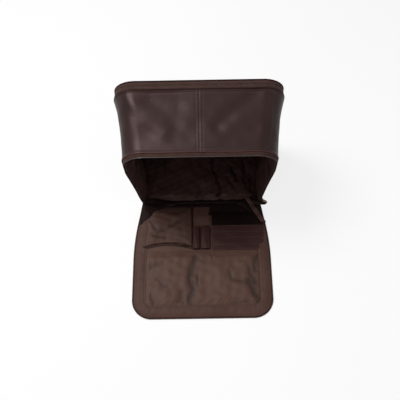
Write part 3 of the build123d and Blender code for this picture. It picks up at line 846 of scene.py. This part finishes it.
# Card holder: a leather back and four layers on it, the mouth of each a little further from
# the hinge than that of the one on top of it, with a pressed line under every mouth.
card_leather = leather("card_holder_leather", (0.023, 0.0095, 0.0088),
                       (0.033, 0.014, 0.0132), 0.42, 0.14)
card_front = leather("card_front_leather", (0.0034, 0.0015, 0.0013),
                     (0.0058, 0.0026, 0.0022), 0.5, 0.06)
# Painted highlight: lighter leather for the rod along each card layer's mouth.
card_mouth_highlight = leather("card_edge_leather", (0.044, 0.022, 0.02), (0.06, 0.032, 0.029), 0.4)
# Painted shade: the hinge's leather is the case's hide at about half its brightness, for the shadow of
# the case over the hinge, its corners and the card holder's facing.
shaded_hinge_leather = leather("shaded_hinge_leather", (0.005, 0.0025, 0.0023),
                        (0.0095, 0.0048, 0.0044), 0.52, 0.08)
CARD_LEFT, CARD_RIGHT, CARD_START = 0.03, 0.18, 0.043
# The facing wears the darker hinge leather, painted shade.
facing = skin("card_holder_facing", 60, 20, lambda across, along: flat(
    blend_to(0.02 + 0.006 * along, 0.173 - 0.012 * along, across),
    blend_to(CARD_START + 0.004, 0.0135, along),
    0.0079 + 0.0003 * drift(across * 0.15, along * 0.03, 0.03, 93)), TRIM, shaded_hinge_leather, "lid")


def card_layer(name, mouth, z, lift, hide, *nodes):
    """One layer from its mouth to the hinge side, its free edge a rod of lighter leather, a painted
    highlight.
    """
    def place(across, along):
        x = blend_to(CARD_LEFT, CARD_RIGHT, across)
        v = blend_to(mouth, CARD_START, along)
        rim = np.minimum(np.minimum(across, 1 - across) * (CARD_RIGHT - CARD_LEFT), v - CARD_START)
        hold = np.clip(rim / 0.012, 0, 1) ** 0.5
        gape = np.exp(-((mouth - v) / 0.01)**2) * np.sin(math.pi * across)
        pressed = np.exp(-((mouth - v - 0.0032) / 0.0007)**2)
        rise = hold * (lift + 0.0003 * drift(x, v, 0.05, 91))
        return flat(x, v, z + rise + 0.001 * gape - 0.0003 * pressed)
    layer = skin(name, 70, 60, place, TRIM, hide, "lid", angle=35)
    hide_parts(*nodes)
    across = np.linspace(0.004, 0.996, 60)
    spots = spots_of(place(across, np.zeros_like(across)))
    rod(f"{name}_edge", spots - UP * 0.0004, UP, 0.0008, 8, card_mouth_highlight, "lid")


card_layer("card_holder_back", 0.158, 0.0083, 0.0006, card_leather, "card_back")
for number, mouth in enumerate((0.1429, 0.1236, 0.1043, 0.085)):
    card_layer(f"card_pocket_{4 - number}", mouth, 0.0088 + 0.0012 * number, 0.0006 + 0.0003 * number,
               card_front if number == 3 else card_leather, f"card_slot_{4 - number}")


# Hinge: the gusset's leather runs on under the case into the lid. A welt covers the bend
# inside, and at both ends, where the zip stops, the spare leather crumples into pleats.
# The strip, the corner pleats and the tip wear the darker hinge leather, painted shade.
WELT_HALF, WELT_FRONT, WELT_BACK = 0.169, -0.104, -0.077
TURNED = 0.001


def hinge_strip(across, along):
    x = blend_to(-WELT_HALF, WELT_HALF, across)
    y = blend_to(WELT_FRONT, WELT_BACK, along)
    bump = np.exp(-((y + 0.0865) / 0.0038)**2)
    lumps = 0.0003 * drift(x, y, 0.04, 101) + 0.0002 * drift(x, y, 0.015, 102)
    on_lid = np.clip((-0.092 - y) / 0.006, 0, 1) * np.clip((y + 0.1042) / 0.003, 0.2, 1)
    return x, y, 0.0058 + 0.0018 * bump + 0.0014 * on_lid + lumps


strip = skin("hinge_strip", 200, 36, hinge_strip, TURNED, shaded_hinge_leather)
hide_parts("hinge_welt")
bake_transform(strip)

for side, sign in (("left", -1), ("right", 1)):
    def corner(across, along):
        """Spare leather folded flat between the foot of the wall and the side of the lid."""
        v = blend_to(-0.008, 0.074, along)
        outer = 0.1735 + 0.0125 * np.clip(along, 0, 1) ** 0.9
        body_side = np.clip((0.2 - along) / 0.2, 0, 1)
        reach = np.clip((along - 0.2) / 0.8, 0, 1) ** 0.65 + 0.5 * body_side ** 1.3
        x = blend_to(outer, blend_to(0.07 if sign < 0 else 0.1, 0.1745, reach), across)
        turn = np.arctan2(v - 0.002, 0.186 - x)
        rays = np.sin(turn * 9 + sign) * 0.0004 + np.sin(turn * 23 + sign) * 0.0001
        puff = np.sin(math.pi * np.clip(across, 0, 1)) ** 0.6 * np.clip((1 - along) * 3, 0, 1)
        rise = 0.004 + np.clip(turn * 3 - 0.2, 0, 1) * rays
        z = 0.0066 + puff * rise + 0.005 * body_side * (1 - across)
        return sign * x, LID_Y - v, z
    gathered = skin(f"hinge_gather_{side}", 70, 90, corner, TURNED, shaded_hinge_leather, flipped=sign > 0)
    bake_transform(gathered)


def turned_edge(across, along):
    """The border's end on the right, folded in across the corner towards the hinge."""
    v = blend_to(-0.006, 0.075, along)
    x = blend_to(0.1375, 0.1815, along ** 1.05) + blend_to(-0.008, 0.008, across)
    rise = np.sin(math.pi * np.clip(across, 0, 1)) ** 0.5
    rise = rise * (0.0036 + 0.001 * np.sin(along * 17))
    return x, LID_Y - v, blend_to(0.015, 0.0112, along) + rise


end_fold = skin("border_end_fold", 16, 50, turned_edge, TURNED, border_cloth, "lid", flipped=True)
for name, across in (("inner", 0.0), ("outer", 1.0)):
    spots = spots_of(turned_edge(across, np.linspace(0.02, 0.98, 40)))
    rod(f"border_end_edge_{name}", spots, UP, 0.0013, 8, dark_trim_and_shade, "lid")


def ear(across, along):
    """The pointed tip that the spare leather is folded to beside the hinge, on the right."""
    half = 0.0095 * np.sqrt(np.clip(1 - along**1.7, 0, 1))
    v = blend_to(0.001, 0.0155, along) + half * blend_to(-1, 1, across)
    crown = np.sin(math.pi * np.clip(across, 0, 1)) ** 0.7 * (1 - 0.6 * along)
    return blend_to(0.15, 0.1925, along), LID_Y - v, 0.015 + 0.004 * crown + 0.0015 * along**2


tip = skin("hinge_leather_tip", 16, 24, ear, TRIM, shaded_hinge_leather)
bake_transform(tip)
ways = np.linspace(0.0, 0.99, 24)
outline = np.array([ear(0.0, way) for way in ways] + [ear(1.0, way) for way in ways[::-1]])
rim = tube("hinge_tip_edge", outline, UP, 0.0013, 8)
wear(rim, gusset_leather)
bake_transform(rim)


# Handle: a padded leather grip between two old brass rings, each held by a leather tab
# with two rivets, at the middle of the back. Sliders and pulls are brass too, darker
# on the pouch.
brass = mottled("old_brass", (55, 3), (0.06, 0.04, 0.022), (0.15, 0.104, 0.06),
                (0.3, 0.22), (55, 3), (300, 2), 0.00015, Metallic=1.0)
bronzed = mottled("bronzed_brass", (55, 3), (0.016, 0.01, 0.007), (0.045, 0.028, 0.018),
                  (0.38, 0), (55, 3), (300, 2), 0.00015, Metallic=1.0)
for name in ("handle_rivets", "main_slider", "main_pull", "rear_slider", "rear_pull"):
    wear(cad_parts[name], brass)
for name in ("pocket_slider", "pocket_pull"):
    wear(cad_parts[name], bronzed)
OUT = np.array([0.0, math.cos(LEAN), math.sin(LEAN)])
HANDLE_Y = BACK_Y + 0.03
RING_X, PIVOT_V, RING_OUT = 0.065, 0.33, 0.004
RING_HALF, RING_TALL = 0.0116, 0.0076
TAB_HALF = 0.0075


def behind(x, v, out):
    """A place behind the back panel: out is the distance from its face."""
    x, y, z = upright(x, HANDLE_Y, v)
    return spots_of((x, y + out * OUT[1], z + out * OUT[2]))


def node_at(kind, left_edge):
    """The frame's left or right node of a kind, whichever starts at this place across."""
    return min((f"{kind}_left", f"{kind}_right"), key=lambda node: abs(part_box(node)[0][0] - left_edge))


def rounded_way(turn):
    """A rectangle with round corners, as two waves from -1 to 1."""
    return [np.sign(wave) * np.abs(wave) ** 0.36 for wave in (np.cos(turn), np.sin(turn))]


TAB_WAY = np.array([  # height and distance out, down the strap and back up
    (0.3705, 0.0020), (0.3450, 0.0020), (0.3370, 0.0026), (0.3338, 0.0049), (0.3322, 0.0070),
    (0.3300, 0.0080), (0.3276, 0.0072), (0.3260, 0.0048), (0.3263, 0.0025), (0.3280, 0.0007),
    (0.3300, 0.0002), (0.3340, 0.0002)])
tab_length = np.concatenate([[0], np.cumsum(np.hypot(*np.diff(TAB_WAY, axis=0).T))])
for side, sign in (("left", 1), ("right", -1)):
    wide, tall = rounded_way(np.linspace(0, math.tau, 97))
    spots = behind(sign * RING_X + RING_HALF * wide, PIVOT_V - RING_TALL + RING_TALL * tall, RING_OUT)
    ring = rod(f"ring_{side}", spots, OUT, 0.0016, 12, brass, "handle")
    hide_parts(node_at("handle_ring", spots[:, 0].min()))

    def tab(across, along):
        v, out = (np.interp(along * tab_length[-1], tab_length, TAB_WAY[:, i]) for i in (0, 1))
        half = TAB_HALF * np.sqrt(np.clip(1 - (np.clip(v - 0.363, 0, 0.00749) / TAB_HALF)**2, 0, 1))
        return behind(sign * RING_X + blend_to(-half, half, across), v, out).T
    strap = skin(f"handle_tab_hide_{side}", 14, 110, tab, 0.0017, case_leather, "body", angle=35)
    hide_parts(node_at("handle_tab", sign * RING_X - TAB_HALF))
    for edge, mark in ((-0.006, "a"), (0.006, "b")):
        spots = behind(sign * RING_X + edge, np.linspace(0.3655, 0.3375, 30), 0.0023)
        sew(f"tab_stitches_{side}_{mark}", spots, OUT, "body", 0.004)

GRIP_BEND, GRIP_RADIUS = 0.026, 0.0075
bend = np.linspace(0, math.pi / 2, 24)
down = [(-RING_X, v) for v in np.linspace(0.3186, 0.311, 8)]
turned_in = [(-RING_X + GRIP_BEND * (1 - math.cos(a)), 0.31 - GRIP_BEND * math.sin(a)) for a in bend]
half_way = down + turned_in + [(x, 0.284) for x in np.linspace(-RING_X + 0.028, -0.001, 24)]
grip_way = np.array(half_way + [(-x, v) for x, v in reversed(half_way)])
spots = behind(grip_way[:, 0], grip_way[:, 1], RING_OUT)
grip = tube("handle_grip_hide", spots, OUT, GRIP_RADIUS, 20, 0.48)
wear(grip, case_leather)
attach(grip, "handle")
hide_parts("handle_grip")
sideways = np.cross(OUT, ahead_of(spots))
for name, edge in (("inner", -0.0054), ("outer", 0.0054)):
    row = spots[6:-6] + sideways[6:-6] * edge + OUT * 0.0026
    sew(f"grip_stitches_{name}", row, OUT, "handle", 0.0042)


# Stiffeners and padding: grey board and foam, out of sight inside the walls and the lid.
# The patterns of stitch and zip loop, which were only there to be copied, go here too.
board = mottled("grey_board", (80, 3), (0.16, 0.14, 0.12), (0.24, 0.21, 0.18),
                (0.8, 0.1), (40, 1), (300, 2), 0.0002)
foam = mottled("foam", (120, 3), (0.55, 0.52, 0.46), (0.68, 0.65, 0.58),
               (0.85, 0.1), (60, 1), (900, 2), 0.0004)
for name in ("base_board", "back_board", "divider_panel"):
    wear(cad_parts[name], board)
wear(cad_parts["lid_padding"], foam)
for part in (stitch, loop):
    bpy.data.objects.remove(part, do_unlink=True)


# Studio: a white floor that runs out of sight, three soft boxes and a pale room. The camera
# and mirrored rays see floor and room as white; the light on the case is much dimmer.
WHITE, ROOM_LIGHT, PAPER, GLOW_SHARE = 1.0, 0.22, 0.8, 0.8
bpy.ops.object.select_all(action="DESELECT")
bpy.ops.mesh.primitive_plane_add(size=14, location=(0, 0, -0.0004))
ground = bpy.context.object
ground.name = "floor"


def seen_straight(finish):
    """1 for the camera's rays and mirrored ones, 0 for those that light the case."""
    ray = finish.node("LightPath", {}, {}).outputs
    return Amount(finish, ray["Is Camera Ray"]) + ray["Is Glossy Ray"] + ray["Is Transmission Ray"]


paper = Finish("paper_floor")
plain = paper.node("BsdfDiffuse", {}, {"Color": (PAPER, PAPER, PAPER)})
glow = paper.node("Emission", {}, {"Color": (1, 1, 1), "Strength": WHITE})
mixed = paper.node("MixShader", {}, {
    0: seen_straight(paper) * GLOW_SHARE, 1: plain.outputs[0], 2: glow.outputs[0]})
paper.node("OutputMaterial", {}, {"Surface": mixed.outputs[0]})
wear(ground, paper.material)

room = Finish("pale_room", bpy.data.worlds)
bpy.context.scene.world = room.material
dim, bright = (room.node("Background", {}, {"Color": (1, 1, 1), "Strength": light}).outputs[0]
               for light in (ROOM_LIGHT, WHITE))
mixed = room.node("MixShader", {}, {0: seen_straight(room), 1: dim, 2: bright})
room.node("OutputWorld", {}, {"Surface": mixed.outputs[0]})

for name, spot, aim, size, power in (
    ("key_box", (-0.95, 0.25, 2.2), (-0.15, -0.05, 0.2), 1.0, 54),
    ("fill_box", (1.9, -1.2, 1.5), (0.1, -0.2, 0.1), 1.6, 12),
    ("front_box", (-1.2, -2.1, 1.2), (0.05, 0, 0.05), 1.3, 12),
):
    bpy.ops.object.light_add(type="AREA", location=spot)
    lamp = bpy.context.object
    lamp.name = name
    lamp.data.size, lamp.data.energy = size, power
    lamp.rotation_euler = (Vector(aim) - Vector(spot)).to_track_quat("-Z", "Y").to_euler()

# Camera: in front of the case and looking steeply down on the hinge's middle, with a long
# lens. It is rolled a little, and the frame is shifted, as with a camera set up by hand.
TILT, TURN, ROLL = math.radians(26.621), math.radians(0.659), math.radians(-1.54)
DISTANCE = 1.96525
bpy.ops.object.camera_add()
camera = bpy.context.object
camera.matrix_world = (
    Matrix.Translation((0, MOUTH_Y, 0)) @ Matrix.Rotation(TURN, 4, "Z") @ Matrix.Rotation(TILT, 4, "X")
    @ Matrix.Rotation(ROLL, 4, "Z") @ Matrix.Translation((0, 0, DISTANCE)))
camera.data.lens = 58.672
camera.data.sensor_width = 36
camera.data.shift_x, camera.data.shift_y = -0.00336, 0.00839
bpy.context.scene.camera = camera
bpy.context.scene.view_settings.view_transform = "Standard"
